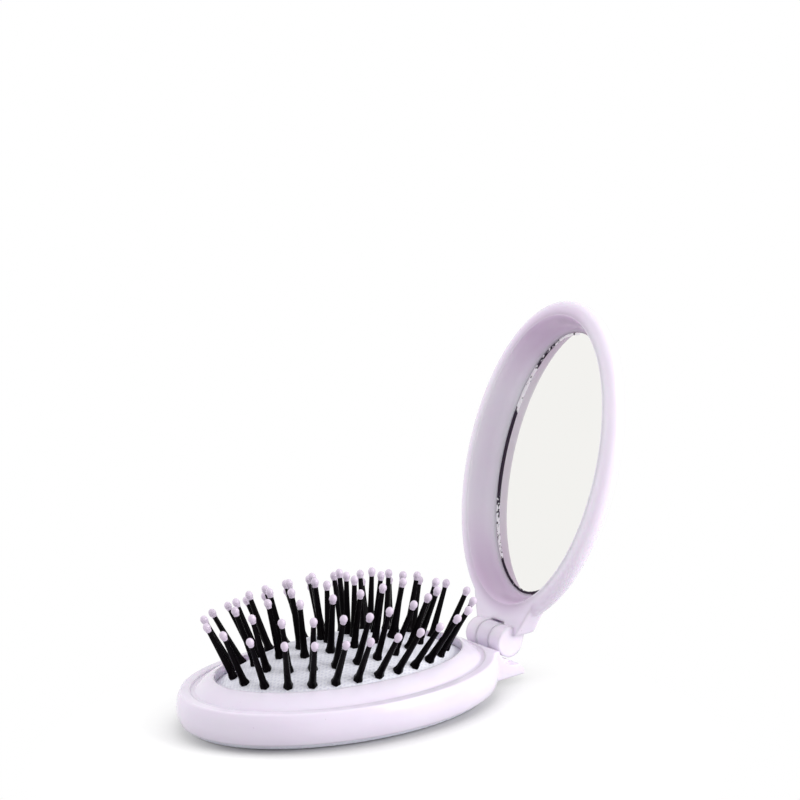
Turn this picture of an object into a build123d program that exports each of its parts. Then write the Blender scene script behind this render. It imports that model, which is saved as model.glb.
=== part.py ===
"""Folding oval compact: a mirror in the lid half and a domed pin brush in the base half.

Millimetres, +Z up. The origin is the middle of the flat underside that the base rests on.
X runs along the oval towards the hinge, Y across it. The lid is drawn shut and then turned
about the hinge to the angle it stands open at.
"""
import math
import os

from build123d import *

os.makedirs("parts", exist_ok=True)

# the oval outline that both halves share
HALF_LENGTH = 40.0
HALF_WIDTH = 27.6

# base, heights above the lower edge of its side wall
FOOT = 1.4            # the bottom cover stands this much below the wall
PARTING = 7.35        # where the two halves meet, which is also the hinge height
LIP_GAP = 0.1         # from the parting height to each lip
LIP_WIDTH = 2.6
LIP_STEP = 0.3
LIP_ROUND = 0.5       # rounding of the lip's outer edge
FOOT_ROUND = 0.4      # rounding of the wall's lower edge
BEZEL_TOP = 9.9       # edge of the brush opening
OPENING_INSET = 8.2
PAD_EDGE = 7.5        # where the pad meets the opening wall
WALL = 2.2

# pad and pins
PAD_CROWN = 15.3
PAD_GAP = 0.15
PAD_SKIN = 1.0
FLANGE = 0.8
FLANGE_REACH = 1.9    # the flange's width beyond the opening
CLAMP = 1.5
CLAMP_REACH = 1.4     # the clamp ring's width inside the opening
PIN_REACH = 13.6      # from the pad to the middle of the ball
PIN_RADIUS = 0.74
PIN_FOOT_RADIUS = 1.2
PIN_FOOT = 2.4
BALL_RADIUS = 1.08
PIN_COUNTS = (26, 20, 12, 6)
# each ring of pins: shares of the opening's half length and half width
RING_SHARES = ((0.862, 0.840), (0.676, 0.619), (0.500, 0.335), (0.321, 0.077))
# where each ring's first pin stands, as a share of the spacing
FIRST_PIN_SHARES = (-0.08, 0.5, 0.03, 0.5)
RING_MIDDLES = (0.15, -0.4, -0.6, -0.6)   # each ring's middle along X

# hinge
HINGE_REACH = 4.5     # the hinge line beyond the end of the oval
KNUCKLE_RADIUS = 3.7
KNUCKLE_GAP = 0.5     # round each knuckle
MIDDLE_HALF = 2.2     # half the width of the base knuckle
WASHER = 0.35
HINGE_HALF = 6.6      # half the width over the outer knuckles
PIVOT_RADIUS = 1.0
PIVOT_FIT = 0.05
STOP = 1.8            # both necks end this far from the hinge line
SCOOP_RADIUS = 5.5    # wider hollow beside the knuckles
DIP_ANGLE = math.radians(30)   # the base slopes down to this far under the hinge line, before the knuckles
NECK_ROOT = 8.0       # how far each neck reaches into its half
# each neck: where it leaves the oval, before the oval's end, and its half widths there and at its end
TAB_START, TAB_START_HALF, TAB_END_HALF = 3.3, 11.0, 9.7
ARM_START, ARM_START_HALF, ARM_END_HALF = 5.0, 11.5, 7.5
ARM_ROUND = 0.9

# lid, heights above the parting height
LID_CROWN = 10.1
RIM_ROUND = 2.2       # rounding of the rim's outer edge
SEAM_INSET = 3.4      # where the lid's inner ring meets its cover
RIM_INSET = 3.75      # inner edge of the lid's flat rim
GLASS_FACE = 6.6
GLASS = 0.8
TAPE = 0.2
GLASS_INSET = 7.1
GLASS_NARROW = 0.6    # the mirror is this much narrower still to each side
SEAT_GAP = 0.1        # from the glass edge or the pad's flange to its seat
# the lid's hollow curve: shares of the way from rim to mirror, across and down, and of the narrowing
COVE_SHARES = ((0.313, 0.258, 0), (0.418, 0.5, 0.17), (0.552, 0.742, 0.42), (0.761, 0.924, 0.75))
LID_OPEN = 106.0      # how far the lid stands open in this pose

# bottom cover
THUMB_LENGTH = 21.0   # half sizes of the thumb opening
THUMB_WIDTH = 12.0
THUMB_ROUND = 0.6
COVER_INSET = 1.2     # the bottom cover's edge, where it meets the wall
COVER_ROUND = 1.4     # how far its edge rounds in below that
COVER_RIM = 1.8       # height of its rim inside the wall
COVER_RIM_WIDTH = 1.2
BOSS_LENGTH, BOSS_WIDTH = 8.0, 5.0   # half sizes of the boss under the pad's crown
BOSS = 2.2

Z0 = FOOT + PARTING   # the hinge line and parting height above the resting face
HINGE_X = HALF_LENGTH + HINGE_REACH
OUTSIDE = HALF_WIDTH + HINGE_REACH   # beyond everything to each side of the hinge
ABOVE = Z0 + PAD_CROWN


def oval(inset, z, narrow=0.0):
    """The outline drawn in by inset, and by narrow more to each side, at height z above the resting face."""
    return Plane.XY.offset(z) * Ellipse(HALF_LENGTH - inset, HALF_WIDTH - inset - narrow)


def slab(inset, z_low, z_high, narrow=0.0):
    return extrude(oval(inset, z_low, narrow), z_high - z_low)


def shell_of(sections, ruled=False):
    """A solid through ovals given as (inset, height) or (inset, height, narrow)."""
    return loft([oval(*section) for section in sections], ruled=ruled)


def eased(sections):
    """The same sections with one more between each two, on a smooth curve through them."""
    before = tuple(2 * a - b for a, b in zip(sections[0], sections[1]))
    after = tuple(2 * a - b for a, b in zip(sections[-1], sections[-2]))
    points = [before, *sections, after]
    out = [sections[0]]
    for p, q, r, s in zip(points, points[1:], points[2:], points[3:]):
        out += [tuple((9 * (b + c) - a - d) / 16 for a, b, c, d in zip(p, q, r, s)), r]
    return out


def side_block(points, half_width):
    """A block with this XZ outline, half_width to each side of the middle."""
    face = make_face(Polyline(*[(x, 0, z) for x, z in points], close=True))
    return extrude(face, half_width, dir=(0, 1, 0), both=True)


def bar(radius, y_low, y_high):
    """A round bar on the hinge line."""
    return Pos(HINGE_X, (y_low + y_high) / 2, Z0) * Rot(90, 0, 0) * Cylinder(radius, y_high - y_low)


def block(x_low, x_high, y_low, y_high, z_low, z_high):
    return Pos((x_low + x_high) / 2, (y_low + y_high) / 2, (z_low + z_high) / 2) * Box(
        x_high - x_low, y_high - y_low, z_high - z_low
    )


def neck_plan(start, start_half, end, end_half, z_low, z_high):
    """A neck that narrows in straight lines from the oval to its end, as seen from above."""
    start = HALF_LENGTH - start
    root = start - NECK_ROOT
    points = [(root, 0), (root, start_half + 1.5), (start, start_half), (end, end_half), (end, 0)]
    right = make_face(Plane.XY.offset(z_low) * Polyline(*points, close=True))
    half = extrude(right, z_high - z_low)
    return half + mirror(half, Plane.XZ)


def side_face(points):
    """A flat face with this XZ outline, in the middle plane."""
    return make_face(Polyline(*[(x, 0, z) for x, z in points], close=True))


def side_disc(radius, x, z):
    """A flat disc in the middle plane."""
    return Plane(origin=(x, 0, z), x_dir=(1, 0, 0), z_dir=(0, -1, 0)) * Circle(radius)


def across(face, y_low, y_high):
    """The face of the middle plane drawn out from y_low to y_high."""
    return extrude(face, y_high - y_low, dir=(0, 1, 0)).translate((0, y_low, 0))


def base_neck(body, lip):
    """Adds the neck with its two rounded ears and the middle knuckle, and makes room for the lid's knuckles."""
    end, far = HINGE_X + STOP, HINGE_X + STOP + 3
    beside = HINGE_HALF + 0.3
    wide = TAB_START_HALF + 5
    root = HALF_LENGTH - TAB_START - NECK_ROOT
    clear = KNUCKLE_RADIUS + KNUCKLE_GAP
    slope = HALF_LENGTH - LIP_WIDTH + 0.4
    # where the slope down from the lip meets the room round the knuckles
    dip = (HINGE_X - clear * math.cos(DIP_ANGLE), Z0 - clear * math.sin(DIP_ANGLE))
    room = side_face([(slope, lip), dip, (HINGE_X, Z0), (far, Z0), (far, ABOVE), (slope, ABOVE)])
    scoop = side_disc(SCOOP_RADIUS, HINGE_X - 1.1, Z0 + 0.95)
    body -= across(room + side_disc(clear, HINGE_X, Z0), -beside, beside)
    for low, high in ((-wide, -beside), (beside, wide)):
        body -= across(scoop, low, high)
    tail = [(root, FOOT), (end, FOOT), (end, FOOT + 1.0), (end - 0.25, FOOT + 1.6), (end - 0.8, FOOT + 2.0)]
    tail.append((HINGE_X, FOOT + 2.75))
    ears = neck_plan(TAB_START, TAB_START_HALF, end, TAB_END_HALF, FOOT, lip)
    ears &= across(side_face([*tail, (HINGE_X, lip), (root, lip)]) - scoop, -wide, wide)
    body += ears - block(root - 1, far, -beside, beside, 0, ABOVE)
    outer = side_face([*tail, dip, (slope, lip), (root, lip)]) - side_disc(clear, HINGE_X, Z0)
    for low, high in ((-beside, -MIDDLE_HALF), (MIDDLE_HALF, beside)):
        body += across(outer, low, high)
    web = Z0 - KNUCKLE_RADIUS / 2
    middle = side_face([*tail, (HINGE_X, web), (dip[0] + 1, web), dip, (slope, lip), (root, lip)])
    body += across(middle, -MIDDLE_HALF, MIDDLE_HALF)
    body += bar(KNUCKLE_RADIUS, -MIDDLE_HALF, MIDDLE_HALF)
    return body - bar(PIVOT_RADIUS + PIVOT_FIT, -HINGE_HALF - 1, HINGE_HALF + 1)


def base_frame():
    """Side wall, lip, sloping bezel round the brush opening, hinge neck and middle knuckle."""
    lip = Z0 - LIP_GAP
    wall = shell_of([(0.15, FOOT), (-0.75, FOOT + 3.3), (0.2, lip)])
    for z, radius in ((FOOT, FOOT_ROUND), (lip, LIP_ROUND)):
        wall = fillet(wall.edges().filter_by_position(Axis.Z, z - 0.01, z + 0.01), radius)
    body = base_neck(wall, lip)
    step, top = lip - LIP_STEP, FOOT + BEZEL_TOP
    body -= slab(LIP_WIDTH, step, lip + 1)
    body -= shell_of([(LIP_WIDTH, lip - 0.2), (LIP_WIDTH - 0.25, lip + 0.05)], True)
    body += shell_of([(LIP_WIDTH + 0.3, lip - 1.1), (OPENING_INSET - 2.8, top - 1.3), (OPENING_INSET, top)])
    # opening, seat for the pad's flange, and the hollow under it
    body -= slab(OPENING_INSET, FOOT - 1, ABOVE)
    body -= slab(FLANGE_INSET - SEAT_GAP, FOOT - 1, FOOT + PAD_EDGE)
    body -= slab(WALL, FOOT - 1, FOOT + 5.2)
    rounding = [(OPENING_INSET, top - 0.55), (OPENING_INSET - 0.12, top - 0.2), (OPENING_INSET - 0.6, top + 0.1)]
    body -= shell_of(rounding, True)
    for x, y, _ in clamp_places():
        body -= Pos(x, y, FOOT + PAD_EDGE) * Cylinder(0.7, 2.4)
    return body


def clamp_places():
    """Six screws under the bezel, spread along the oval."""
    inset = OPENING_INSET - 1.1
    places = []
    for k in range(6):
        t = math.radians(30 + 60 * k)
        places.append(((HALF_LENGTH - inset) * math.cos(t), (HALF_WIDTH - inset) * math.sin(t), 0))
    return places


def clamp_ring():
    """Flat ring that holds the pad's flange up against the bezel."""
    top = FOOT + PAD_EDGE - FLANGE
    ring = slab(FLANGE_INSET, top - CLAMP, top) - slab(OPENING_INSET + CLAMP_REACH, top - CLAMP - 1, top + 1)
    for x, y, _ in clamp_places():
        ring -= Pos(x, y, top) * Cylinder(0.7, 10)
    return ring


def clamp_screws():
    """Six round-headed screws, shank up through the ring and the flange into the bezel."""
    top = FOOT + PAD_EDGE - FLANGE - CLAMP
    screws = []
    for x, y, _ in clamp_places():
        shank = Pos(x, y, top) * Cylinder(0.7, CLAMP + FLANGE + 1.1, align=(Align.CENTER, Align.CENTER, Align.MIN))
        head = Pos(x, y, top) * Cylinder(1.2, 0.8, align=(Align.CENTER, Align.CENTER, Align.MAX))
        slot = Pos(x, y, top - 0.8) * Box(1.8, 0.35, 0.7)
        screws.append(shank + head - slot)
    return screws


def cap(half_width, height, stretch, z):
    """A dome: part of a ball of this base and height, stretched along X, standing at z."""
    radius = (half_width**2 + height**2) / (2 * height)
    mid = half_width * 0.55
    rise = height - radius + math.sqrt(radius**2 - mid**2)
    profile = make_face(
        ThreePointArc((half_width, 0, 0), (mid, 0, rise), (0, 0, height))
        + Line((0, 0, height), (0, 0, 0))
        + Line((0, 0, 0), (half_width, 0, 0))
    )
    return Pos(0, 0, z) * scale(revolve(profile, Axis.Z), by=(stretch, 1, 1))


FLANGE_INSET = OPENING_INSET - FLANGE_REACH
PAD_HALF = HALF_WIDTH - OPENING_INSET - PAD_GAP
PAD_STRETCH = (HALF_LENGTH - OPENING_INSET - PAD_GAP) / PAD_HALF
PAD_RISE = PAD_CROWN - PAD_EDGE
PAD_BALL = (PAD_HALF**2 + PAD_RISE**2) / (2 * PAD_RISE)


def pad():
    """Domed skin that carries the pins, with a flat flange under the bezel."""
    edge = FOOT + PAD_EDGE
    dome = cap(PAD_HALF, PAD_RISE, PAD_STRETCH, edge)
    skin = slab(FLANGE_INSET, edge - FLANGE, edge) + dome
    inner_half = PAD_HALF - 1.3
    skin -= cap(inner_half, PAD_RISE - PAD_SKIN + FLANGE, PAD_STRETCH, edge - FLANGE)
    for x, y, _ in clamp_places():
        skin -= Pos(x, y, edge) * Cylinder(0.7, 6)
    return skin


def push_boss():
    """Oval boss under the crown, where a thumb pushes the brush out."""
    top = FOOT + PAD_CROWN - PAD_SKIN - 0.55
    face = Plane.XY.offset(top - BOSS) * Ellipse(BOSS_LENGTH, BOSS_WIDTH)
    boss = extrude(face, PAD_CROWN)
    under = cap(PAD_HALF - 1.3, PAD_RISE - PAD_SKIN + FLANGE, PAD_STRETCH, FOOT + PAD_EDGE - FLANGE)
    return boss & under


def pad_point(x, y):
    """Height of the pad at x, y and the direction square to it."""
    u = x / PAD_STRETCH
    height = math.sqrt(PAD_BALL**2 - u**2 - y**2)
    z = FOOT + PAD_CROWN - PAD_BALL + height
    return Vector(x, y, z), Vector(u / PAD_STRETCH, y, height).normalized()


def ring_places(ring):
    """Points spread evenly along one ring of pins, the first near its front middle."""
    half_length = RING_SHARES[ring][0] * (HALF_LENGTH - OPENING_INSET)
    half_width = RING_SHARES[ring][1] * (HALF_WIDTH - OPENING_INSET)
    count, start = PIN_COUNTS[ring], FIRST_PIN_SHARES[ring]
    steps = 2000
    walk = [0.0]
    for k in range(steps):
        a, b = 2 * math.pi * k / steps, 2 * math.pi * (k + 1) / steps
        dx = half_length * (math.sin(b) - math.sin(a))
        dy = half_width * (math.cos(b) - math.cos(a))
        walk.append(walk[-1] + math.hypot(dx, dy))
    places = []
    for n in range(count):
        goal = (n + start) % count / count * walk[-1]
        k = next(i for i in range(steps) if walk[i + 1] > goal)
        t = 2 * math.pi * (k + (goal - walk[k]) / (walk[k + 1] - walk[k])) / steps
        places.append((RING_MIDDLES[ring] + half_length * math.sin(t), -half_width * math.cos(t)))
    return places


def prism_stack(sections, sides):
    """Straight-sided solid through regular polygons given as (radius, height)."""
    return loft([Plane.XY.offset(z) * RegularPolygon(r, sides) for r, z in sections], ruled=True)


def pin_shaft():
    """Six-sided shaft that flares where it stands on the pad."""
    top = PIN_REACH - 0.85 * BALL_RADIUS
    foot = [(PIN_FOOT_RADIUS, 0), (PIN_FOOT_RADIUS * 0.92, PIN_FOOT * 0.2)]
    return prism_stack(foot + [(PIN_RADIUS * 1.08, PIN_FOOT * 0.75), (PIN_RADIUS, top)], 6)


def pin_ball():
    """Ball tip, a little taller than wide."""
    sections = [(PIN_RADIUS, PIN_REACH - 0.85 * BALL_RADIUS)]
    for share in (-0.35, 0.3, 0.8):
        sections.append((BALL_RADIUS * math.sqrt(1 - share**2), PIN_REACH + share * BALL_RADIUS))
    sections.append((BALL_RADIUS * 0.3, PIN_REACH + 1.08 * BALL_RADIUS))
    return prism_stack(sections, 6)


def pins(piece, ring):
    """The piece at every place of one ring, standing square to the pad."""
    out = []
    for x, y in ring_places(ring):
        point, normal = pad_point(x, y)
        out.append(Plane(point, x_dir=Vector(1, 0, -normal.X / normal.Z), z_dir=normal).location * piece)
    return out


def bottom_cover():
    """Closing plate with a rounded edge, a rim inside the wall and the thumb opening."""
    plate = shell_of([(COVER_INSET + COVER_ROUND, 0), (COVER_INSET + 0.4, FOOT * 0.36), (COVER_INSET, FOOT)])
    plate += slab(WALL, FOOT, FOOT + COVER_RIM) - slab(WALL + COVER_RIM_WIDTH, FOOT, Z0)
    hole = extrude(Plane.XY.offset(-1) * Ellipse(THUMB_LENGTH, THUMB_WIDTH), Z0)
    plate -= hole
    edge = plate.edges().filter_by_position(Axis.Z, -0.01, 0.01).sort_by(SortBy.LENGTH)[0]
    return fillet([edge], THUMB_ROUND)


def hinge_pivot():
    """Steel pin along the hinge line, blind at the near end."""
    return bar(PIVOT_RADIUS, -HINGE_HALF + 1.0, HINGE_HALF - 0.2)


def knuckle_washers():
    """A thin washer on each side of the middle knuckle."""
    out = []
    for side in (-1, 1):
        low, high = sorted((side * MIDDLE_HALF, side * (MIDDLE_HALF + WASHER)))
        out.append(bar(KNUCKLE_RADIUS - 0.4, low, high) - bar(PIVOT_RADIUS + 0.1, low - 1, high + 1))
    return out


def lid_cover():
    """Outer shell of the lid with its rim, hinge neck and the two outer knuckles, drawn shut."""
    low = Z0 + LIP_GAP
    crown = Z0 + LID_CROWN
    side = [(-0.4, low), (-0.3, low + 1.8), (0.75, Z0 + 4.0), (3.7, Z0 + 6.4), (7.2, Z0 + 8.1)]
    dome = [(12.0, crown - 0.85), (17.0, crown - 0.25), (22.0, crown - 0.04), (HALF_WIDTH - 0.8, crown)]
    outer = shell_of(eased(side + dome))
    outer = fillet(outer.edges().filter_by_position(Axis.Z, low - 0.01, low + 0.01), RIM_ROUND)
    end = HINGE_X - STOP
    neck = neck_plan(ARM_START, ARM_START_HALF, end, ARM_END_HALF, low, Z0 + 9)
    root = HALF_LENGTH - ARM_START - NECK_ROOT
    profile = [(root, low), (end, low), (end, Z0 + 0.8), (end - 0.5, Z0 + 2.6), (end - 1.2, Z0 + 4.2)]
    profile += [(end - 1.8, Z0 + 5.5), (end - 3.3, Z0 + 5.3), (end - 6.2, Z0 + 4.9), (root, Z0 + 4.9)]
    arm = neck & side_block(profile, OUTSIDE)
    shown = [e for e in arm.edges() if e.center().Z > low + 0.05 and e.center().X > root + 3]
    outer += fillet([e for e in shown if abs(e.center().Y) > ARM_END_HALF - 2], ARM_ROUND)
    outer -= bar(KNUCKLE_RADIUS + KNUCKLE_GAP, -MIDDLE_HALF - WASHER, MIDDLE_HALF + WASHER)
    for hand in (-1, 1):
        y_low, y_high = sorted((hand * (MIDDLE_HALF + WASHER + 0.05), hand * HINGE_HALF))
        outer += bar(KNUCKLE_RADIUS, y_low, y_high)
        outer += block(HINGE_X - 4.5, HINGE_X, y_low, y_high, low, Z0 + KNUCKLE_RADIUS)
    outer -= bar(PIVOT_RADIUS + PIVOT_FIT, -HINGE_HALF + 0.9, HINGE_HALF + 1)
    outer -= lid_hollow()
    pocket = GLASS_FACE + GLASS + TAPE
    return outer - slab(GLASS_INSET - SEAT_GAP, Z0 + 6.0, Z0 + pocket, GLASS_NARROW)


def lid_hollow():
    """Room in the cover for the lid's inner ring."""
    low, face = Z0 - 0.5, Z0 + GLASS_FACE
    deep = GLASS_INSET - 1.6
    return shell_of([(SEAM_INSET, low), (SEAM_INSET + 0.3, low + 2.9), (deep - 1.1, face - 2.0), (deep, face)])


def lid_frame():
    """Inner ring of the lid: flush with the rim, then a hollow curve down to the mirror."""
    low, face = Z0 + LIP_GAP, Z0 + GLASS_FACE
    ring = lid_hollow() & slab(SEAM_INSET - 2, low, face)
    sections = [(RIM_INSET - 0.5, low - 0.3), (RIM_INSET + 0.5, low + 0.4)]
    for across, down, narrow in COVE_SHARES:
        inset = RIM_INSET + across * (GLASS_INSET - RIM_INSET)
        sections.append((inset, Z0 + down * GLASS_FACE, narrow * GLASS_NARROW))
    return ring - shell_of([*sections, (GLASS_INSET + 0.3, face + 0.1, GLASS_NARROW)])


def mirror_glass():
    return slab(GLASS_INSET, Z0 + GLASS_FACE, Z0 + GLASS_FACE + GLASS, GLASS_NARROW)


def mirror_tape():
    """Thin tape between the glass and the lid."""
    back = Z0 + GLASS_FACE + GLASS
    return slab(GLASS_INSET + 1.5, back, back + TAPE, GLASS_NARROW)


def opened(shape):
    """Turns a piece of the shut lid to the angle it stands open at."""
    return Pos(HINGE_X, 0, Z0) * Rot(0, LID_OPEN, 0) * Pos(-HINGE_X, 0, -Z0) * shape


def save(name, shape, color):
    """One file for each piece, or for a set of like pieces."""
    solids = []
    for item in shape if isinstance(shape, list) else [shape]:
        solids += item.solids()
    out = solids[0] if len(solids) == 1 else Compound(children=solids)
    out.label = name
    out.color = Color(*color)
    export_step(out, f"parts/{name}.step")
    size = out.bounding_box().size
    volume = sum(s.volume for s in solids)
    print(f"{name}: {len(solids)} solids, {size.X:.1f} x {size.Y:.1f} x {size.Z:.1f} mm, {volume:.1f} mm3")


LILAC = (0.80, 0.76, 0.86)
BLACK = (0.02, 0.02, 0.025)

save("base_frame", base_frame(), LILAC)
save("bottom_cover", bottom_cover(), LILAC)
save("brush_pad", pad(), (0.85, 0.84, 0.88))
save("push_boss", push_boss(), (0.85, 0.84, 0.88))
save("clamp_ring", clamp_ring(), (0.75, 0.75, 0.78))
save("clamp_screws", clamp_screws(), (0.6, 0.6, 0.62))
shaft, ball = pin_shaft(), pin_ball()
for ring, name in enumerate(("outer", "second", "third", "inner")):
    save(f"pin_shafts_{name}", pins(shaft, ring), BLACK)
    save(f"pin_tips_{name}", pins(ball, ring), LILAC)
save("hinge_pivot", hinge_pivot(), (0.6, 0.6, 0.62))
save("knuckle_washers", knuckle_washers(), (0.9, 0.9, 0.9))
save("lid_cover", opened(lid_cover()), LILAC)
save("lid_frame", opened(lid_frame()), LILAC)
save("mirror_glass", opened(mirror_glass()), (0.9, 0.9, 0.92))
save("mirror_tape", opened(mirror_tape()), (0.2, 0.2, 0.2))
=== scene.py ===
"""Looks of the folding mirror compact: smooth pins and pad, gloss plastic, mirror, table and light."""
import math
import random

import bmesh
import bpy
from mathutils import Matrix, Vector


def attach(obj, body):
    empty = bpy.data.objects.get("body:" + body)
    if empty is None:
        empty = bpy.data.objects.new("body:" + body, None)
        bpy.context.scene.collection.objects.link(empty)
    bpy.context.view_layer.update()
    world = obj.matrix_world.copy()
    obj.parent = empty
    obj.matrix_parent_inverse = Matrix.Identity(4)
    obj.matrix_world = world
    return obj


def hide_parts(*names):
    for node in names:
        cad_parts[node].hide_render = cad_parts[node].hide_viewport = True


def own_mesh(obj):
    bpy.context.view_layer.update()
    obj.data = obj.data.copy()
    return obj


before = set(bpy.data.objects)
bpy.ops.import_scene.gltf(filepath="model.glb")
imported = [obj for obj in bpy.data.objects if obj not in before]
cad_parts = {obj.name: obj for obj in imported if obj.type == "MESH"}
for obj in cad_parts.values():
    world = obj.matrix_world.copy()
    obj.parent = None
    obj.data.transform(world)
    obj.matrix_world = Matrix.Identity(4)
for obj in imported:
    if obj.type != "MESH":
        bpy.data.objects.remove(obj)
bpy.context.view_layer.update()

MM = 0.001

# ovals and heights of the object as in the CAD, in millimetres
HALF_LENGTH, HALF_WIDTH = 40.0, 27.6     # the outline of both halves
FOOT = 1.4                               # the bottom cover stands this much below the base's wall
PARTING = 8.75                           # the height between both halves
OPENING_INSET = 8.2                      # the brush opening, in from the outline
HINGE_REACH = 4.5                        # the hinge line, beyond the end of the outline
LID_OPEN = math.radians(106.0)           # how far the lid stands open at rest
# a point on the hinge line, which runs along Y, in metres
HINGE = Vector((HALF_LENGTH + HINGE_REACH, 0, PARTING)) * MM

# camera
PHOTO_WIDTH, FOCAL_LENGTH = 800, 1998.8  # in the photograph's pixels
SENSOR = 36                              # width of the camera's sensor, in millimetres


def outward(azimuth, elevation):
    """Direction from the object to a camera that stands at these angles."""
    level = math.cos(elevation)
    return Vector((math.sin(azimuth) * level, -math.cos(azimuth) * level, math.sin(elevation)))


def add_camera():
    """Stands at the photograph's place, by angles from the base's middle, and is turned to frame it."""
    azimuth, elevation, roll = math.radians(-32.146), math.radians(17.978), math.radians(-1.115)
    distance, yaw, pitch = 472.4 * MM, math.radians(-1.907), math.radians(-8.489)
    place = outward(azimuth, elevation) * distance + Vector((0, 0, FOOT * MM))
    back = outward(azimuth + yaw, elevation + pitch)
    level = Vector((math.cos(azimuth + yaw), math.sin(azimuth + yaw), 0))
    top = back.cross(level)
    right = math.cos(roll) * level + math.sin(roll) * top
    up = -math.sin(roll) * level + math.cos(roll) * top
    data = bpy.data.cameras.new("camera")
    data.sensor_width = SENSOR
    data.lens = FOCAL_LENGTH / PHOTO_WIDTH * SENSOR
    data.clip_start, data.clip_end = 0.01, 20
    camera = bpy.data.objects.new("camera", data)
    bpy.context.scene.collection.objects.link(camera)
    turn = Matrix((right, up, back)).transposed().to_4x4()
    camera.matrix_world = Matrix.Translation(place) @ turn
    bpy.context.scene.camera = camera


add_camera()
bpy.context.scene.view_settings.view_transform = "Standard"


# materials
def srgb(r, g, b):
    """Linear values of a colour given as 0 to 255."""
    out = []
    for c in (r, g, b):
        c /= 255
        out.append(c / 12.92 if c <= 0.04045 else ((c + 0.055) / 1.055) ** 2.4)
    return (*out, 1.0)


def grey(shade):
    return (shade, shade, shade, 1)


# lilac plastic, with its noise scales per metre
CLOUDS, SPECKS, SCUFFS, RIPPLES = 55, 1500, 700, 260
RIPPLE_HEIGHT = 0.004               # in millimetres
DUST = srgb(150, 135, 150)
GLOSS, SEMI_GLOSS = 0.14, 0.22      # roughness of the lilac parts and of the bottom cover
SCUFFING = 0.10                     # how much rougher the scuffs are
PLASTIC_DEPTH = 1.8 * MM            # how deep light spreads
EDGE_ROUND, NECK_ROUND = 0.6 * MM, 1.2 * MM
NECK_FADE = 2.1 * MM, 2.9 * MM      # insets in the lid between which the neck's rounding fades
HOLLOW_INSETS = 0.2 * MM, 4.2 * MM  # insets in the lid between which the hollow's painted shade sets in
HOLLOW_ENDS = 14 * MM, 34 * MM      # where it sets in between the lid's middle and its ends
HOLLOW_SIDES = -15 * MM, -4 * MM    # where it sets in between the lit side and the other
MIDDLE_SHARE, LIT_SHARE = 0.15, 0.1  # how much of that painted shade stays in the middle and on the lit side

# plain finishes, with their noise scales per metre
WEAR, GRAIN = 300, 800
WORN_SHADE = 0.85                   # how bright the worn patches are
GRAIN_HEIGHT = 0.02 * MM

# pad texture, with its noise scales per metre
PAD_CLOUDS, PAD_BLOTS, PAD_GRAIN = 80, 900, 1200
PAD_DARK, PAD_LIGHT, PAD_DASH = srgb(243, 243, 254), srgb(246, 246, 255), srgb(230, 230, 245)
DASH_PITCH = 1.1 * MM
ROW_PITCH = DASH_PITCH * 0.62
DASH_DEPTH = 0.08 * MM
# where a dash fades out along X and along Y, as shares of its cell from the middle
DASH_ENDS, DASH_SIDES = (0.18, 0.32), (0.14, 0.34)
TEXTURE_END = 0.945, 0.965          # where the texture fades out, as shares of its oval
TEXTURE_INSET = 8.3                 # the oval that bounds the texture, in from the outline, in millimetres
FIRST_CELL = 500.0                  # added to every cell's number, so that none is negative

# mirror, with its noise scales per metre
SILVERING, EDGE_BREAKS, GLINT_FLECKS = 20, 420, 1100
SILVER_LIGHT, SILVER_DARK, BARE_GLASS = (0.90, 0.893, 0.868, 1), (0.885, 0.878, 0.855, 1), srgb(62, 52, 66)
SILVER_LENGTH, SILVER_WIDTH = 32.9, 18.85    # half sizes of the oval of whole silver, in millimetres
EDGE_START = 0.986, 0.992           # between these shares of the oval the bare edge sets in
EDGE_WANDER = 0.016                 # how far that place wanders, as a share of the oval
EDGE_TURNS = -0.6, -0.5             # between these half turns from the hinge end it sets in on the near side
GLINT_START = 1.52, 1.66            # between these sums of noise and brightness a painted glint sets in
# painted glints: how bright the bare edge is painted, by half turns from the hinge end round the far side
EDGE_GLINTS = [
    (0.04, 0.3), (0.10, 0.1), (0.19, 0.05), (0.215, 0.8), (0.35, 0.72), (0.39, 0.4), (0.43, 0.02),
    (0.595, 0.0), (0.62, 0.9), (0.725, 0.9), (0.75, 0.4), (0.84, 0.45), (0.90, 0.9),
]
EDGE_GLINT_ENDS = 0.3, 0.9         # the same at no turn and at a whole half turn


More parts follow.
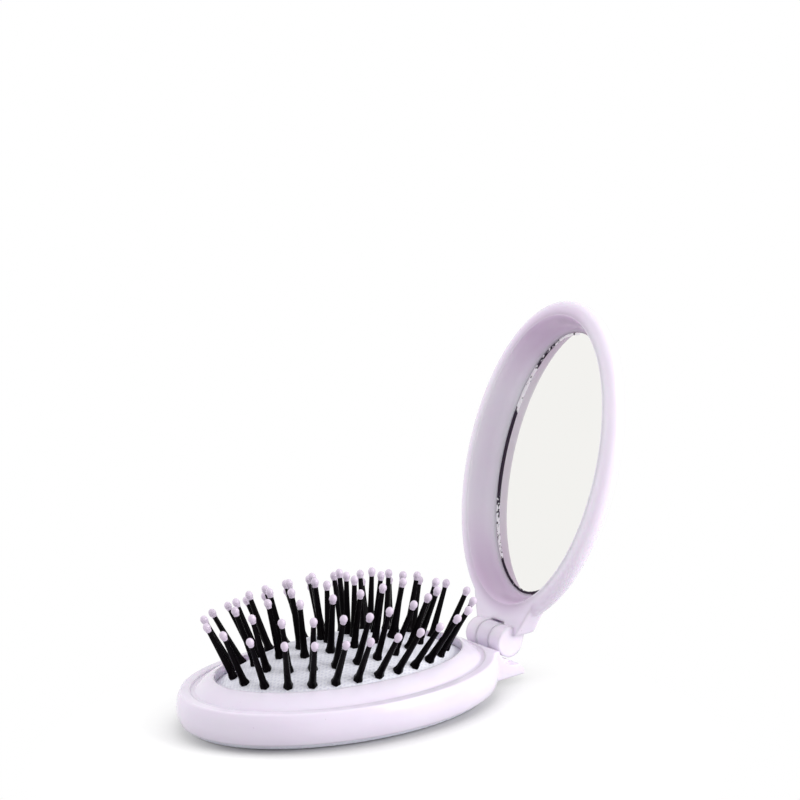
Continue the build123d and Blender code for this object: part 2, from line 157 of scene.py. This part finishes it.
class Nodes:
    """Small helper for building the nodes of a material or of the world."""

    def __init__(self, owner):
        owner.use_nodes = True
        self.owner = owner
        self.tree = owner.node_tree

    def add(self, kind, **values):
        node = self.tree.nodes.new(kind)
        for key, value in values.items():
            setattr(node, key, value)
        return node

    def link(self, a, b):
        """Joins input b to output a, or sets it where a is a plain value."""
        if hasattr(a, "is_linked"):
            self.tree.links.new(a, b)
        else:
            b.default_value = a

    def surface(self, values):
        """Joins or sets the main shader's inputs, by name."""
        for name, value in values.items():
            self.link(value, self.tree.nodes["Principled BSDF"].inputs[name])

    def place(self):
        return self.add("ShaderNodeTexCoord").outputs["Object"]

    def split(self, vector):
        node = self.add("ShaderNodeSeparateXYZ")
        self.link(vector, node.inputs[0])
        return node.outputs

    def noise(self, scale, detail, roughness=0.5):
        node = self.add("ShaderNodeTexNoise")
        node.inputs["Scale"].default_value = scale
        node.inputs["Detail"].default_value = detail
        node.inputs["Roughness"].default_value = roughness
        self.link(self.place(), node.inputs["Vector"])
        return node.outputs["Fac"]

    def patches(self, scale, detail, low=0, high=1, spread=(0.3, 0.7), roughness=0.5):
        """Noise that runs from low to high, between the two noise values of the spread."""
        return self.ramp(self.noise(scale, detail, roughness), *spread, low, high)

    def math(self, operation, *values):
        node = self.add("ShaderNodeMath", operation=operation)
        for value, socket in zip(values, node.inputs):
            self.link(value, socket)
        return node.outputs[0]

    def ramp(self, value, low, high, out_low, out_high, smooth=False):
        node = self.add("ShaderNodeMapRange")
        if smooth:
            node.interpolation_type = "SMOOTHSTEP"
        for key, number in (("From Min", low), ("From Max", high), ("To Min", out_low), ("To Max", out_high)):
            node.inputs[key].default_value = number
        self.link(value, node.inputs["Value"])
        return node.outputs["Result"]

    def mix(self, share, a, b):
        node = self.add("ShaderNodeMix", data_type="RGBA")
        self.link(share, node.inputs["Factor"])
        for value, socket in ((a, node.inputs[6]), (b, node.inputs[7])):
            self.link(value, socket)
        return node.outputs[2]

    def mix_shaders(self, share, a, b):
        node = self.add("ShaderNodeMixShader")
        for value, socket in zip((share, a, b), node.inputs):
            self.link(value, socket)
        return node.outputs[0]

    def length(self, a, b):
        return self.math("SQRT", self.math("ADD", self.math("MULTIPLY", a, a), self.math("MULTIPLY", b, b)))

    def lid_place(self):
        """Coordinates with the lid turned shut, where its ovals lie level."""
        turn = self.add("ShaderNodeMapping", vector_type="POINT")
        spin = Matrix.Rotation(-LID_OPEN, 3, "Y")
        turn.inputs["Rotation"].default_value = (0, -LID_OPEN, 0)
        turn.inputs["Location"].default_value = HINGE - spin @ HINGE
        self.link(self.place(), turn.inputs["Vector"])
        return self.split(turn.outputs[0])

    def lid_inset(self):
        """How far inside the lid's outline a point lies, in metres."""
        x, y, _ = self.lid_place()
        half_length, half_width = HALF_LENGTH * MM, HALF_WIDTH * MM
        a, b = self.math("DIVIDE", x, half_length), self.math("DIVIDE", y, half_width)
        reach = self.length(a, b)
        slope = self.length(self.math("DIVIDE", a, half_length), self.math("DIVIDE", b, half_width))
        short = self.math("SUBTRACT", 1.0, reach)
        return self.math("DIVIDE", self.math("MULTIPLY", short, reach), slope)

    def seen(self):
        """One where the eye, a reflection or glass looks, and zero where light falls on another surface."""
        light = self.add("ShaderNodeLightPath")
        seen = self.math("MAXIMUM", light.outputs["Is Camera Ray"], light.outputs["Is Glossy Ray"])
        return self.math("MAXIMUM", seen, light.outputs["Is Transmission Ray"])

    def bump(self, height, strength, distance, round_edges=0.0):
        """Relief from a height, over edges that look rounded where round_edges isn't zero."""
        node = self.add("ShaderNodeBump")
        node.inputs["Strength"].default_value = strength
        node.inputs["Distance"].default_value = distance
        self.link(height, node.inputs["Height"])
        if round_edges != 0:
            bevel = self.add("ShaderNodeBevel", samples=6)
            self.link(round_edges, bevel.inputs["Radius"])
            self.link(bevel.outputs[0], node.inputs["Normal"])
        self.surface({"Normal": node.outputs["Normal"]})


def new_material(name):
    return Nodes(bpy.data.materials.new(name))


def all_edges(m):
    """Rounds every edge alike."""
    return EDGE_ROUND


def neck_edge(m):
    """Rounds the edges of the lid's neck, and leaves the flush seam round the inner ring alone."""
    return m.ramp(m.lid_inset(), *NECK_FADE, NECK_ROUND, 0)


def hollow_shade_share(m, low, high):
    """How much painted shade a point gets, by how far it lies down in the lid's hollow.

    It is more so in the tight curves at both ends, and less so on the side that faces the light. It counts up
    to the height low above the parting height and no longer above high, both in millimetres.
    """
    x, y, z = m.lid_place()
    depth = m.ramp(m.lid_inset(), *HOLLOW_INSETS, 0, 1, smooth=True)
    ends = m.ramp(m.math("ABSOLUTE", x), *HOLLOW_ENDS, MIDDLE_SHARE, 1, smooth=True)
    shaded = m.ramp(y, *HOLLOW_SIDES, LIT_SHARE, 1, smooth=True)
    open_side = m.ramp(z, HINGE.z + low * MM, HINGE.z + high * MM, 1, 0)
    return m.math("MULTIPLY", m.math("MULTIPLY", depth, ends), m.math("MULTIPLY", shaded, open_side))


def lilac_plastic(name, light, dark, rough, edge=None, painted_shade=None, heights=(0, 0)):
    """Moulded gloss plastic: very slight cloudiness, rare dust specks, fine scuffs and a soft ripple.

    Where edge is given, it rounds the look of the edges. Where a hollow colour is given, the lid's hollow
    is painted with it as painted shade, standing for shade and bounced light in it, up to the heights.
    """
    m = new_material(name)
    colour = m.mix(m.patches(CLOUDS, 3, spread=(0.35, 0.65)), dark, light)
    # painted shade in the lid's hollow, standing for its shade and bounced light
    if painted_shade:
        colour = m.mix(hollow_shade_share(m, *heights), colour, painted_shade)
    speck = m.patches(SPECKS, 1, high=0.6, spread=(0.80, 0.84))
    scuff = m.patches(SCUFFS, 3, spread=(0.3, 0.75), roughness=0.6)
    m.surface({
        "Base Color": m.mix(speck, colour, DUST),
        "Roughness": m.math("MULTIPLY_ADD", scuff, SCUFFING, rough),
        "IOR": 1.5,
        "Subsurface Weight": 0.5,
        "Subsurface Radius": (1.0, 0.75, 0.9),
        "Subsurface Scale": PLASTIC_DEPTH,
    })
    ripple = m.math("MULTIPLY", m.noise(RIPPLES, 2), RIPPLE_HEIGHT)
    m.bump(ripple, 1.0, MM, edge(m) if edge else 0)
    return m.owner


def simple(name, colour, rough_low, rough_high, metallic=0.0, gloss=0.5, ripple=0.15):
    """Plain finish: a little uneven in colour, in gloss and in its surface."""
    m = new_material(name)
    worn = tuple(c * WORN_SHADE for c in colour[:3]) + (1,)
    m.surface({
        "Base Color": m.mix(m.patches(WEAR, 3), colour, worn),
        "Roughness": m.patches(GRAIN, 2, rough_low, rough_high),
        "Metallic": metallic,
        "Specular IOR Level": gloss,
    })
    m.bump(m.noise(GRAIN, 2), ripple, GRAIN_HEIGHT)
    return m.owner


def from_cell_middle(m, place):
    """How far a point lies from the middle of its cell, where the cells lie one apart."""
    return m.math("ABSOLUTE", m.math("SUBTRACT", m.math("FRACT", m.math("ADD", place, FIRST_CELL)), 0.5))


def oval_reach(m, x, y, half_length, half_width):
    """Zero in the middle of an oval and one on its outline, with both ways there."""
    a, b = m.math("DIVIDE", x, half_length * MM), m.math("DIVIDE", y, half_width * MM)
    return a, b, m.length(a, b)


def pad_rubber():
    """Pale rubber skin with staggered rows of small dashes, and a plain margin along its edge."""
    m = new_material("pad_rubber")
    x, y, _ = m.split(m.place())
    v = m.math("DIVIDE", y, ROW_PITCH)
    shift = m.math("MULTIPLY", m.math("MODULO", m.math("ABSOLUTE", m.math("FLOOR", v)), 2.0), 0.5)
    u = m.math("ADD", m.math("DIVIDE", x, DASH_PITCH), shift)
    across = m.ramp(from_cell_middle(m, u), *DASH_ENDS, 1, 0, smooth=True)
    along = m.ramp(from_cell_middle(m, v), *DASH_SIDES, 1, 0, smooth=True)
    _, _, reach = oval_reach(m, x, y, HALF_LENGTH - TEXTURE_INSET, HALF_WIDTH - TEXTURE_INSET)
    inside = m.ramp(reach, *TEXTURE_END, 1, 0)
    dash = m.math("MULTIPLY", m.math("MULTIPLY", across, along), inside)
    blot = m.patches(PAD_BLOTS, 2, low=0.65)
    colour = m.mix(m.patches(PAD_CLOUDS, 2, spread=(0.35, 0.65)), PAD_DARK, PAD_LIGHT)
    m.surface({
        "Base Color": m.mix(m.math("MULTIPLY", dash, blot), colour, PAD_DASH),
        "Roughness": m.patches(PAD_GRAIN, 2, 0.42, 0.55),
    })
    m.bump(m.math("MULTIPLY", dash, -1.0), 0.8, DASH_DEPTH)
    return m.owner


def mirror_material():
    """Silvered glass: warm-white reflection, and an uneven dark edge where it ends, with painted glints."""
    m = new_material("mirror_glass")
    x, y, _ = m.lid_place()
    a, b, reach = oval_reach(m, x, y, SILVER_LENGTH, SILVER_WIDTH)
    ragged = m.math("MULTIPLY_ADD", m.noise(EDGE_BREAKS, 3, 0.7), EDGE_WANDER, reach)
    # painted glints: the bare edge is painted bright along some arcs, by the angle round the oval, and dark
    # between
    around = m.math("DIVIDE", m.math("ARCTAN2", b, a), math.pi)
    edge = m.math("MULTIPLY", m.ramp(ragged, *EDGE_START, 0, 1), m.ramp(around, *EDGE_TURNS, 0, 1))
    glint_stretches = m.add("ShaderNodeValToRGB")
    elements = glint_stretches.color_ramp.elements
    for place, shade in EDGE_GLINTS:
        elements.new(place).color = grey(shade)
    elements[0].color, elements[-1].color = (grey(shade) for shade in EDGE_GLINT_ENDS)
    m.link(around, glint_stretches.inputs[0])
    glint_fleck = m.math("MULTIPLY_ADD", m.noise(GLINT_FLECKS, 2, 0.6), 2.0, glint_stretches.outputs[0])
    edge_and_glints = m.mix(m.ramp(glint_fleck, *GLINT_START, 0, 1), BARE_GLASS, grey(1))
    silver = m.mix(m.noise(SILVERING, 2), SILVER_LIGHT, SILVER_DARK)
    m.surface({
        "Base Color": m.mix(edge, silver, edge_and_glints),
        "Metallic": 1.0,
        "Roughness": m.math("MULTIPLY", edge, 0.5),
    })
    return m.owner


# lid colours: two painted lighter than the base's lilac, standing for more light on the lid, and the hollow's
# painted shade
LIT_LID_LIGHT, LIT_LID_DARK, HOLLOW_SHADE = srgb(241, 232, 247), srgb(237, 228, 243), srgb(217, 195, 222)
LILAC = lilac_plastic("lilac_plastic", srgb(234, 226, 241), srgb(230, 221, 237), GLOSS, all_edges)
LID = lilac_plastic("lid_plastic", LIT_LID_LIGHT, LIT_LID_DARK, GLOSS, neck_edge, painted_shade=HOLLOW_SHADE, heights=(0.4, 1.3))
RING = lilac_plastic("ring_plastic", LIT_LID_LIGHT, LIT_LID_DARK, GLOSS, painted_shade=HOLLOW_SHADE, heights=(8.2, 9.0))
# the bottom cover is painted lighter and bluer than the lilac, standing for light and a cool tint in its
# shaded band
UNDER = lilac_plastic("under_plastic", srgb(238, 237, 253), srgb(234, 233, 251), SEMI_GLOSS)
PAD = pad_rubber()
BLACK = simple("pin_nylon", srgb(9, 6, 9), 0.16, 0.24, gloss=0.04, ripple=0.03)
TIP = simple("tip_nylon", srgb(226, 211, 231), 0.18, 0.28)
INNER = simple("inner_plastic", srgb(205, 202, 212), 0.4, 0.5)
STEEL = simple("pivot_steel", srgb(190, 190, 194), 0.25, 0.35, metallic=1.0)
TAPE = simple("tape", srgb(60, 60, 62), 0.7, 0.8)
MIRROR = mirror_material()

LOOKS = {
    "base_frame": LILAC, "bottom_cover": UNDER, "brush_pad": PAD, "push_boss": PAD,
    "clamp_ring": INNER, "clamp_screws": STEEL, "hinge_pivot": STEEL, "knuckle_washers": LILAC,
    "lid_cover": LID, "lid_frame": RING, "mirror_glass": MIRROR, "mirror_tape": TAPE,
}
for name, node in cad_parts.items():
    look = LOOKS.get(name) or (BLACK if "shafts" in name else TIP)
    node.data.materials.clear()
    node.data.materials.append(look)

# pad, in millimetres, with its heights above the lower edge of the base's wall
PAD_EDGE, PAD_CROWN = 7.5, 15.3     # where it meets the opening's wall, and its highest point
PAD_GAP = 0.15                      # from the pad to the opening's wall
SKIN, FLANGE = 1.0, 0.8             # thickness under the crown and of the flange
FLANGE_INSET = 6.3                  # the flange's edge, in from the outline
PAD_HALF = HALF_WIDTH - OPENING_INSET - PAD_GAP
PAD_STRETCH = (HALF_LENGTH - OPENING_INSET - PAD_GAP) / PAD_HALF
PAD_RISE = PAD_CROWN - PAD_EDGE
UNDER_INSET = 1.3                   # the underside's edge, in from the pad's
UNDER_HALF = PAD_HALF - UNDER_INSET
UNDER_RISE = PAD_RISE - SKIN + FLANGE
CENTRE_SHARE = 0.01                 # the smallest rings of the pad, each closed by one face
BOSS_LENGTH, BOSS_WIDTH = 8.0, 5.0  # half sizes of the boss
BOSS_DROP = 2.75                    # from the underside at the crown to the boss's low end
# the boss's rounded low end: how far in from its sides, and how far up
BOSS_PROFILE = [(1.5, 0.0), (0.7, 0.06), (0.2, 0.35), (0.0, 0.8), (0.0, 1.7)]


def ball_radius(half, rise):
    """Radius of the ball that has a cap of this half width and height."""
    return (half**2 + rise**2) / (2 * rise)


PAD_BALL = ball_radius(PAD_HALF, PAD_RISE)
UNDER_BALL = ball_radius(UNDER_HALF, UNDER_RISE)


def pad_point(x, y):
    """The pad's surface above x, y in millimetres, and the direction square to it."""
    u = x / PAD_STRETCH
    height = math.sqrt(max(PAD_BALL**2 - u**2 - y**2, 0))
    normal = Vector((u / PAD_STRETCH, y, height)).normalized()
    return Vector((x, y, FOOT + PAD_CROWN - PAD_BALL + height)), normal


def mesh_piece(name, points, faces, material):
    """A smooth mesh from points in millimetres."""
    mesh = bpy.data.meshes.new(name)
    mesh.from_pydata([Vector(p) * MM for p in points], [], faces)
    mesh.validate()
    build = bmesh.new()
    build.from_mesh(mesh)
    bmesh.ops.recalc_face_normals(build, faces=build.faces)
    build.to_mesh(mesh)
    build.free()
    mesh.materials.append(material)
    for polygon in mesh.polygons:
        polygon.use_smooth = True
    piece = bpy.data.objects.new(name, mesh)
    bpy.context.scene.collection.objects.link(piece)
    return piece


def turned(rings, sides):
    """Points and faces of a closed form through rings, each a function of the angle."""
    points, faces = [], []
    for ring in rings:
        points += [ring(2 * math.pi * k / sides) for k in range(sides)]
    for i in range(len(rings) - 1):
        for k in range(sides):
            a, b = i * sides + k, i * sides + (k + 1) % sides
            faces.append((a, b, b + sides, a + sides))
    faces.append(tuple(range(sides)))
    last = (len(rings) - 1) * sides
    faces.append(tuple(last + k for k in range(sides)))
    return points, faces


def oval_ring(long, wide, z):
    return lambda t: (long * math.cos(t), wide * math.sin(t), z)


def round_ring(radius, z):
    return oval_ring(radius, radius, z)


def dome_ring(share):
    """A ring on the pad's upper side, at this share of its reach."""
    def point(t):
        x, y = PAD_HALF * PAD_STRETCH * share * math.cos(t), PAD_HALF * share * math.sin(t)
        return tuple(pad_point(x, y)[0])
    return point


def under_ring(long, wide, sink=0.0):
    """A ring of these half sizes on the pad's underside, or sunk a little below it."""
    def point(t):
        x, y = long * math.cos(t), wide * math.sin(t)
        height = math.sqrt(UNDER_BALL**2 - (x / PAD_STRETCH)**2 - y**2)
        return (x, y, FOOT + PAD_EDGE - FLANGE + UNDER_RISE - UNDER_BALL + height - sink)
    return point


def add_pad():
    """The skin: its underside from the middle out, the flange under the bezel, and its upper side back in."""
    sides, under_count, dome_count = 128, 26, 30
    top = FOOT + PAD_EDGE
    low = top - FLANGE
    long, wide = HALF_LENGTH - FLANGE_INSET, HALF_WIDTH - FLANGE_INSET
    # the flange stays clear of the bezel, and falls a little at its edge
    clear, edge_fall, edge_inset = 0.02, 0.01, 0.3
    under_shares = [max(k / under_count, CENTRE_SHARE) for k in range(under_count)] + [0.985, 1.0]
    rings = [under_ring(UNDER_HALF * PAD_STRETCH * share, UNDER_HALF * share) for share in under_shares]
    rings += [oval_ring(long, wide, z) for z in (low, low + FLANGE / 2, top - clear - edge_fall)]
    rings += [oval_ring(long - edge_inset, wide - edge_inset, top - clear)]
    rings += [oval_ring(PAD_HALF * PAD_STRETCH + clear, PAD_HALF + clear, top - clear)]
    dome_shares = [1.0, 0.995, 0.985] + [1 - k / dome_count for k in range(1, dome_count + 1)]
    rings += [dome_ring(max(share, CENTRE_SHARE)) for share in dome_shares]
    piece = mesh_piece("pad_skin", *turned(rings, sides), PAD)
    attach(piece, "base")
    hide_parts("brush_pad")
    return piece


def add_boss():
    """Rounded boss under the crown, where a thumb pushes the brush out."""
    sides, sink = 64, 0.01
    low = FOOT + PAD_CROWN - SKIN - BOSS_DROP
    rings = [oval_ring(0.2, 0.1, low)]
    rings += [oval_ring(BOSS_LENGTH - inset, BOSS_WIDTH - inset, low + up) for inset, up in BOSS_PROFILE]
    rings += [under_ring(BOSS_LENGTH * share, BOSS_WIDTH * share, sink) for share in (1.0, 0.6, 0.02)]
    piece = mesh_piece("thumb_boss", *turned(rings, sides), PAD)
    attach(piece, "base")
    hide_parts("push_boss")
    return piece


# pins, in millimetres, with their heights above the pad
PIN_REACH, TIP_RADIUS = 13.6, 0.9   # from the pad to the middle of the ball tip, and its radius
PIN_SIDES = 24
SHAFT_LOW, SHAFT_TOP = -0.25, 12.8
ROOT_RADIUS = 1.0                   # of the shaft inside the pad's skin
SHAFT_CAP, TIP_CAP = 0.3, 0.06      # radii of the rings that one face closes
# height, radius, and how far the outline is six-sided
SHAFT = [
    (0.0, 1.14, 0.9), (0.18, 1.22, 0.9), (0.5, 1.20, 0.85), (0.9, 1.06, 0.8),
    (1.4, 0.93, 0.7), (2.0, 0.87, 0.6), (3.0, 0.83, 0.5), (6.0, 0.75, 0.5),
    (9.0, 0.67, 0.5), (12.2, 0.60, 0.4), (12.75, 0.56, 0.2),
]
# radius and height of the collar with which the tip holds the shaft
COLLAR = [(0.4, 12.45), (0.62, 12.46), (0.68, 12.58)]
TIP_BELOW, TIP_ABOVE = 1.12, 1.18   # how far the ball is stretched along the pin, below and above its middle
SEED = 4                            # of the pins' random lean and twist
LEAN = 0.9                          # spread of the pins' lean off square, in degrees
TWIST = 1.0                         # a pin's greatest turn about its own length, in radians
OUTER_LEAN = 0.03                   # how much more the outermost pins lean out, as a slope
# each ring's half length and half width as shares of the opening's, its count of pins, where its first pin
# stands as a share of the spacing, and its middle along X
RINGS = {
    "outer": (0.862, 0.840, 26, -0.08, 0.15), "second": (0.676, 0.619, 20, 0.5, -0.4),
    "third": (0.500, 0.335, 12, 0.03, -0.6), "inner": (0.321, 0.077, 6, 0.5, -0.6),
}


def ring_places(long_share, wide_share, count, start, middle):
    """Points spread evenly along one ring of pins, the first near its front middle."""
    half_length = long_share * (HALF_LENGTH - OPENING_INSET)
    half_width = wide_share * (HALF_WIDTH - OPENING_INSET)
    steps = 2000
    walk = [0.0]
    for k in range(steps):
        a, b = 2 * math.pi * k / steps, 2 * math.pi * (k + 1) / steps
        along, across = math.sin(b) - math.sin(a), math.cos(b) - math.cos(a)
        walk.append(walk[-1] + math.hypot(half_length * along, half_width * across))
    places = []
    for n in range(count):
        goal = (n + start) % count / count * walk[-1]
        k = next(i for i in range(steps) if walk[i + 1] > goal)
        t = 2 * math.pi * (k + (goal - walk[k]) / (walk[k + 1] - walk[k])) / steps
        places.append((middle + half_length * math.sin(t), -half_width * math.cos(t)))
    return places


def shaft_ring(z, radius, share):
    """A rounded six-sided ring, where share is how far it is six-sided."""
    def point(t):
        flat = math.cos(math.pi / 6) / math.cos((t % (math.pi / 3)) - math.pi / 6)
        r = radius * (1 - share + share * flat)
        return (r * math.cos(t), r * math.sin(t), z)
    return point


def shaft_form():
    """Shaft along Z, flared and six-sided at its foot."""
    rings = [round_ring(SHAFT_CAP, SHAFT_LOW), round_ring(ROOT_RADIUS, SHAFT_LOW)]
    rings += [shaft_ring(*section) for section in SHAFT]
    rings += [round_ring(SHAFT_CAP, SHAFT_TOP)]
    return turned(rings, PIN_SIDES)


def tip_form():
    """Ball tip, a little egg-shaped, with a short collar over the shaft."""
    rings = [round_ring(radius, z) for radius, z in COLLAR]
    lowest, sweep, steps = -50, 140, 12    # angles in degrees, up to the top of the ball
    for k in range(1, steps):
        a = math.radians(lowest + sweep * k / steps)
        longer = TIP_BELOW if a < 0 else TIP_ABOVE
        rings.append(round_ring(TIP_RADIUS * math.cos(a), PIN_REACH + longer * TIP_RADIUS * math.sin(a)))
    rings.append(round_ring(TIP_CAP, PIN_REACH + TIP_ABOVE * TIP_RADIUS))
    return turned(rings, PIN_SIDES)


def pin_stance(normal, draw):
    """Two turns for a pin: the first about its own length, the second to stand nearly square to the pad."""
    side = Vector((1, 0, -normal.x / normal.z)).normalized()
    other = normal.cross(side)
    lean = Matrix.Rotation(math.radians(draw.gauss(0, LEAN)), 3, side)
    lean = lean @ Matrix.Rotation(math.radians(draw.gauss(0, LEAN)), 3, other)
    stand = lean @ Matrix((side, other, normal)).transposed()
    return Matrix.Rotation(draw.uniform(0, TWIST), 3, "Z"), stand


def stood(form, point, turn, stand):
    """The form's points and faces, with its foot at the point."""
    points, faces = form
    return [point + stand @ (turn @ Vector(p)) for p in points], faces


def add_pin_pieces(label, ring, forms):
    """The shafts and the tips of one or more pins."""
    for (points, faces), kind, material in zip(forms, ("shafts", "tips"), (BLACK, TIP)):
        piece = mesh_piece(f"{kind}_{label}", points, faces, material)
        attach(piece, "base")
        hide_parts(f"pin_{kind}_{ring}")
        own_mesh(piece)


def add_pins():
    """A pair of pieces for each outermost pin, and a merged pair for each ring further in."""
    draw = random.Random(SEED)
    forms = (shaft_form(), tip_form())
    for ring, sizes in RINGS.items():
        merged = (([], []), ([], []))
        for number, (x, y) in enumerate(ring_places(*sizes)):
            point, normal = pad_point(x, y)
            if ring == "outer":
                normal = (normal + Vector((normal.x, normal.y, 0)).normalized() * OUTER_LEAN).normalized()
            turn, stand = pin_stance(normal, draw)
            placed = [stood(form, point, turn, stand) for form in forms]
            if ring == "outer":
                # the outermost pins lean over the lid's rim; each gets its own pair of pieces
                add_pin_pieces(f"outer_{number + 1:02}", ring, placed)
                continue
            for (points, faces), (more_points, more_faces) in zip(merged, placed):
                start = len(points)
                points += more_points
                faces += [tuple(start + i for i in face) for face in more_faces]
        if ring != "outer":
            add_pin_pieces(ring, ring, merged)


for piece in (add_pad(), add_boss()):
    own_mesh(piece)
add_pins()

# table and light, with lengths in metres
FLOOR_HALF, FLOOR_LOW = 6.0, -0.0001
TABLE_CLOUDS = 3                    # noise scale, per metre
TABLE_DARK, TABLE_LIGHT = (0.60, 0.60, 0.605, 1), grey(0.61)
SHADOW_REACH = 22 * MM              # how near the object has to be to shade the table
OPENNESS = 0.45, 0.97               # how open the table is to all sides, from deepest shadow to none
SHADOW_TONES = 0.52, 1.18           # its tone at those two
WHITE_MIDDLE = (-0.008, -0.028, 0)  # on the table under the base's front edge
WHITE_FADE = 0.024, 0.078           # distances from there between which the table turns plain white
HORIZON, ZENITH = 0.85, 0.78        # the world's light on the object


def add_floor():
    """White table: near the object it keeps the shadow, farther off it is seen and reflected as white."""
    mesh = bpy.data.meshes.new("floor")
    corners = [(x * FLOOR_HALF, y * FLOOR_HALF, 0) for x, y in ((-1, -1), (1, -1), (1, 1), (-1, 1))]
    mesh.from_pydata(corners, [], [(0, 1, 2, 3)])
    floor = bpy.data.objects.new("floor", mesh)
    floor.location.z = FLOOR_LOW
    bpy.context.scene.collection.objects.link(floor)
    m = new_material("floor")
    m.surface({
        "Base Color": m.mix(m.noise(TABLE_CLOUDS, 2), TABLE_DARK, TABLE_LIGHT),
        "Roughness": 0.8,
        "Specular IOR Level": 0.1,
    })
    near = m.add("ShaderNodeAmbientOcclusion", samples=12)
    near.inputs["Distance"].default_value = SHADOW_REACH
    shaded = m.add("ShaderNodeBsdfDiffuse")
    m.link(m.ramp(near.outputs["AO"], *OPENNESS, *SHADOW_TONES), shaded.inputs["Color"])
    far = m.add("ShaderNodeVectorMath", operation="DISTANCE")
    m.link(m.place(), far.inputs[0])
    m.link(WHITE_MIDDLE, far.inputs[1])
    share = m.ramp(far.outputs["Value"], *WHITE_FADE, 0, 1, smooth=True)
    white = m.add("ShaderNodeEmission")
    eye = m.mix_shaders(share, shaded.outputs[0], white.outputs[0])
    plain = m.tree.nodes["Principled BSDF"].outputs[0]
    m.link(m.mix_shaders(m.seen(), plain, eye), m.tree.nodes["Material Output"].inputs["Surface"])
    mesh.materials.append(m.owner)


def add_world():
    """White to the eye and to reflections. As light on the object it is brightest near the horizon."""
    world = bpy.data.worlds.new("world")
    bpy.context.scene.world = world
    m = Nodes(world)
    height = m.split(m.add("ShaderNodeTexCoord").outputs["Generated"])[2]
    strength = m.add("ShaderNodeMix")
    m.link(m.seen(), strength.inputs["Factor"])
    m.link(m.ramp(height, 0, 1, HORIZON, ZENITH), strength.inputs["A"])
    m.link(1.0, strength.inputs["B"])
    background = m.tree.nodes["Background"]
    background.inputs["Color"].default_value = grey(1)
    m.link(strength.outputs["Result"], background.inputs["Strength"])


def add_lamp(name, place, target, size, power):
    """Square lamp that faces the target."""
    data = bpy.data.lights.new(name, "AREA")
    data.shape = "RECTANGLE"
    data.size, data.size_y = size, size
    data.energy = power
    lamp = bpy.data.objects.new(name, data)
    lamp.location = place
    lamp.rotation_euler = (Vector(target) - Vector(place)).to_track_quat("-Z", "Y").to_euler()
    bpy.context.scene.collection.objects.link(lamp)
    return lamp


add_floor()
add_world()
add_lamp("key", (0.70, -0.80, 0.55), (0, 0, 0.02), size=0.8, power=9.6)
fill = add_lamp("fill", (-0.60, 0.75, 0.50), (0.04, 0, 0.05), size=0.6, power=3.0)
fill.visible_glossy = False
